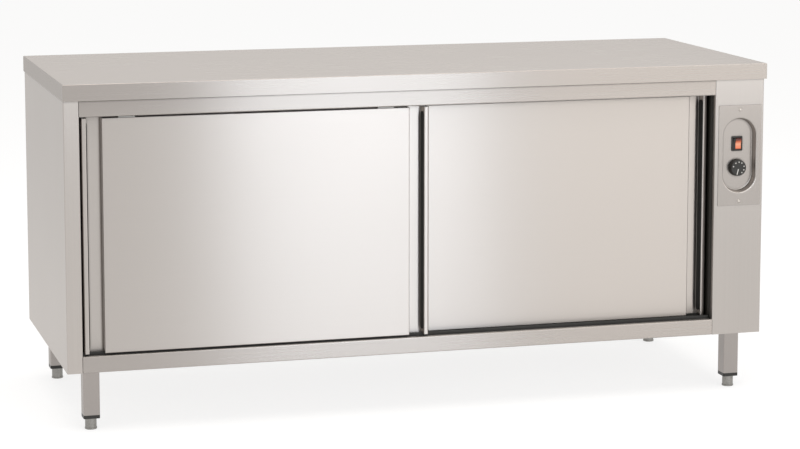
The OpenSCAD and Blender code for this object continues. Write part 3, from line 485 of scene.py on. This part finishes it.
def build_marks(bm):
    face = knob_low.y + INK / 2
    for angle in MARK_ANGLES:
        a = math.radians(angle)
        dot = knob_centre + Vector((MARK_RADIUS * math.cos(a), 0, MARK_RADIUS * math.sin(a)))
        stack_rings(bm, [circle_ring(dot, DOT_RADIUS, face, 16),
                         circle_ring(dot, DOT_RADIUS, face - INK, 16)])
    a = math.radians(POINTER_ANGLE)
    along = Vector((math.cos(a), 0, math.sin(a)))
    side = Vector((-along.z, 0, along.x)) * POINTER_HALF_WIDTH
    near = knob_centre + along * POINTER_START
    far = knob_centre + along * POINTER_END
    corners = (near - side, far - side, far + side, near + side)
    stack_rings(bm, [[(c.x, face, c.z) for c in corners],
                     [(c.x, face - INK, c.z) for c in corners]])


object_from("thermostat_knob_marks", build_marks, "thermostat_knob", white_ink)
print("knob of", round(knob_radius * 2000, 1), "mm with", len(MARK_ANGLES), "marks")

# %% [markdown]
# ## The switch
#
# The switch is a black bezel round a rocker. The rocker's left part is black and its
# right part is the amber lens. Both parts share one section: round ends about the pin and
# a shallow V in front. The section is swept across the switch and tilted as the CAD model
# tilts it, and a narrow bevel softens every edge, because a moulded edge is never sharp.

# %% Bezel
bezel_low, bezel_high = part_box("switch_body")
bezel_centre = (bezel_low + bezel_high) / 2
OPENING = Vector((22.6, 0, 29.6)) * MM
HOUSE_WIDTH, HOUSE_HEIGHT = 26 * MM, 33 * MM
HOUSE_START = 6 * MM


def build_bezel(bm):
    width, height = bezel_high.x - bezel_low.x, bezel_high.z - bezel_low.z
    front, plate = bezel_low.y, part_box("switch_body")[0].y + 2.5 * MM
    steps = ((width, height, 2.2, plate), (width, height, 2.2, front + 0.9 * MM),
             (width - 0.5 * MM, height - 0.5 * MM, 2.0, front + 0.3 * MM),
             (width - 1.6 * MM, height - 1.6 * MM, 1.6, front),
             (OPENING.x + 1.0 * MM, OPENING.z + 1.0 * MM, 0.9, front),
             (OPENING.x + 0.2 * MM, OPENING.z + 0.2 * MM, 0.5, front + 0.4 * MM),
             (OPENING.x, OPENING.z, 0.4, front + 1.2 * MM),
             (OPENING.x, OPENING.z, 0.4, plate + HOUSE_START),
             (HOUSE_WIDTH, HOUSE_HEIGHT, 0.5, plate + HOUSE_START),
             (HOUSE_WIDTH, HOUSE_HEIGHT, 0.5, plate))
    rings = [rounded_ring(bezel_centre, w, h, r * MM, y) for w, h, r, y in steps]
    stack_rings(bm, rings, closed=True)
    stack_rings(bm, [rounded_ring(bezel_centre, HOUSE_WIDTH, HOUSE_HEIGHT, 0.5 * MM, y)
                     for y in (plate + HOUSE_START, bezel_high.y)])


bezel = object_from("switch_bezel", build_bezel, "cabinet", black_plastic)
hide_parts("switch_body")
print("bezel", round((bezel_high.x - bezel_low.x) * 1000), "mm wide")

# %% Rocker
ROCKER_TILT = math.radians(10)
ROCKER_SECTION = ((-2.0, 0.0), (-4.75, 13.4), (-4.3, 13.8), (0.0, 14.5), (6.0, 13.2),
                  (6.0, -13.2), (0.0, -14.5), (-4.3, -13.8), (-4.75, -13.4))
rocker_joint = next(j for j in frame["joints"] if j["name"] == "switch_rocker_tilt")
rocker_pin = Vector(rocker_joint["pos_m"])


def build_rocker(low, high):
    """The rocker's section between two positions across the switch, in mm from the pin."""
    def build(bm):
        turn = Matrix.Rotation(ROCKER_TILT, 3, "X")
        rings = []
        for x in (low, high):
            rings.append([rocker_pin + turn @ Vector((x, y, z)) * MM
                          for y, z in ROCKER_SECTION])
        stack_rings(bm, rings)
    return build


def soften(piece, width):
    """A bevel on the sharp edges of a moulded piece."""
    bevel = piece.modifiers.new("soft_edges", "BEVEL")
    bevel.width = width
    bevel.segments = 3
    bevel.limit_method = "ANGLE"
    bevel.angle_limit = math.radians(40)
    bevel.harden_normals = True


rocker = object_from("switch_rocker_frame", build_rocker(-11.0, -4.1), "switch_rocker",
                     black_plastic)
lens = object_from("switch_rocker_lens", build_rocker(-4.05, 11.0), "switch_rocker", amber)
for part in (rocker, lens):
    soften(part, 0.4 * MM)
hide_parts("switch_rocker")
print("rocker in two parts about", [round(v, 4) for v in rocker_pin])

# %% [markdown]
# ## Floor, lamps and surroundings
#
# Polished steel has hardly a colour of its own: it shows what stands round it. Here that is
# one plain white backdrop and a pale floor. The camera sees them, and so do the rays that
# bounce off metal or pass through a clear plastic, so that the steel stands in the same
# room as the picture shows. Only the dull materials are lit by a weaker world. The world is
# left out of the light sampling, since sampled light can't tell metal from paint. The floor
# adds a share of plain white, so that it is about as bright as the backdrop and still
# darkens where the cabinet keeps the light off it.

# %% Surroundings
def background_rays(tree):
    """1 for a ray that meets the plain background: the camera's, off metal, through glass."""
    rays = add(tree, "LightPath")
    metal_too = add(tree, "Math", {0: rays.outputs["Is Camera Ray"],
                                   1: rays.outputs["Is Glossy Ray"]}, operation="MAXIMUM")
    glass_too = add(tree, "Math", {0: metal_too.outputs[0],
                                   1: rays.outputs["Is Transmission Ray"]},
                    operation="MAXIMUM")
    return glass_too.outputs[0]


WORLD_LIGHT = 0.5
world = bpy.data.worlds.new("studio")
bpy.context.scene.world = world
world.use_nodes = True
world.cycles.sampling_method = "NONE"
sky = world.node_tree
sky.nodes.clear()
lighting = add(sky, "Background", {"Color": linear("#fdfbf8"), "Strength": WORLD_LIGHT})
backdrop = add(sky, "Background", {"Color": (1, 1, 1, 1), "Strength": 1.0})
for_rays = add(sky, "MixShader", {0: background_rays(sky), 1: lighting.outputs[0],
                                  2: backdrop.outputs[0]})
add(sky, "OutputWorld", {"Surface": for_rays.outputs[0]})
print("plain white surroundings")

# %% Floor
FLOOR_SIZE = 40.0
FLOOR_WHITE = 0.76
material, tree = start_material("studio_floor")
plain = add(tree, "Math", {0: background_rays(tree), 1: FLOOR_WHITE}, operation="MULTIPLY")
dull = add(tree, "BsdfDiffuse", {"Color": linear("#a8a8a8")})
white = add(tree, "Emission", {"Color": (1, 1, 1, 1), "Strength": plain.outputs[0]})
both = add(tree, "AddShader", {0: dull.outputs[0], 1: white.outputs[0]})
add(tree, "OutputMaterial", {"Surface": both.outputs[0]})
mesh = bpy.data.meshes.new("floor")
half = FLOOR_SIZE / 2
mesh.from_pydata([(-half, -half, 0), (half, -half, 0), (half, half, 0), (-half, half, 0)],
                 [], [(0, 1, 2, 3)])
mesh.materials.append(material)
floor = bpy.data.objects.new("floor", mesh)
bpy.context.scene.collection.objects.link(floor)
print("floor", FLOOR_SIZE, "m")

# %% [markdown]
# The lamps are large softboxes, and the steel shows them as soft bands. A tall narrow one
# stands in front, a little to the right, where the front of the cabinet mirrors it: it is
# the bright band across the doors, a touch cooler than the rest, as daylight is. A wide
# one beside it lifts the right end.

# %% Lamps
WARM_WHITE, DAYLIGHT = "#fffaf4", "#eaf4ff"


def softbox(name, place, aim, width, height, watts, colour=WARM_WHITE):
    """A rectangular lamp at place, pointing at aim. The camera doesn't see it."""
    lamp = bpy.data.lights.new(name, "AREA")
    lamp.shape = "RECTANGLE"
    lamp.size = width
    lamp.size_y = height
    lamp.energy = watts
    lamp.color = linear(colour)[:3]
    box = bpy.data.objects.new(name, lamp)
    box.location = place
    box.rotation_euler = (Vector(aim) - Vector(place)).to_track_quat("-Z", "Y").to_euler()
    box.visible_camera = False
    bpy.context.scene.collection.objects.link(box)
    return box


softbox("overhead", (0, -0.5, 4.0), (0, 0, 0.4), 5.0, 4.0, 90)
softbox("front_left", (-3.6, -4.0, 2.6), (0, 0, 0.5), 3.0, 3.0, 12)
softbox("front_strip", (1.48, -6.7, 1.7), (0, 0, 0.6), 1.35, 3.2, 54, DAYLIGHT)
softbox("front_right", (4.1, -6.0, 1.9), (0, 0, 0.6), 4.0, 3.4, 63)
print("four softboxes")

# %% [markdown]
# ## Camera
#
# The photograph was taken from the left, a little above the worktop, with a long lens
# about six and a half metres away. The numbers come from fitting the cabinet's own
# corners to the picture. Its upright edges run together less than the height of the
# camera would make them, so the picture is the lower part of a larger one, or was taken
# with a shifted lens. The camera therefore tilts down by less, and its view is shifted
# down to bring the cabinet back into the frame. The picture is 800 by 449 pixels.

# %% Camera
AZIMUTH = math.radians(15.844)
TILT = math.radians(7.618)
DISTANCE = 6.6245
OFFSET_RIGHT, OFFSET_UP = -0.0256, -0.2326
PICTURE_WIDTH = 800
SENSOR_WIDTH = 36
LENS = 2542.5 / PICTURE_WIDTH * SENSOR_WIDTH
SHIFT_DOWN = 92.1 / PICTURE_WIDTH
middle = (Vector(cad_box[0]) + Vector(cad_box[1])) / 2
right = Vector((math.cos(AZIMUTH), -math.sin(AZIMUTH), 0))
forward = Vector((math.sin(AZIMUTH) * math.cos(TILT),
                  math.cos(AZIMUTH) * math.cos(TILT), -math.sin(TILT)))
up = right.cross(forward)
camera = bpy.data.objects.new("camera", bpy.data.cameras.new("camera"))
bpy.context.scene.collection.objects.link(camera)
camera.data.sensor_width = SENSOR_WIDTH
camera.data.lens = LENS
camera.data.shift_y = -SHIFT_DOWN
camera.location = middle - right * OFFSET_RIGHT - forward * DISTANCE - up * OFFSET_UP
camera.rotation_euler = (math.pi / 2 - TILT, 0, -AZIMUTH)
bpy.context.scene.camera = camera
bpy.context.scene.view_settings.view_transform = "Standard"
print("camera at", [round(v, 3) for v in camera.location], "lens", round(LENS, 1), "mm")
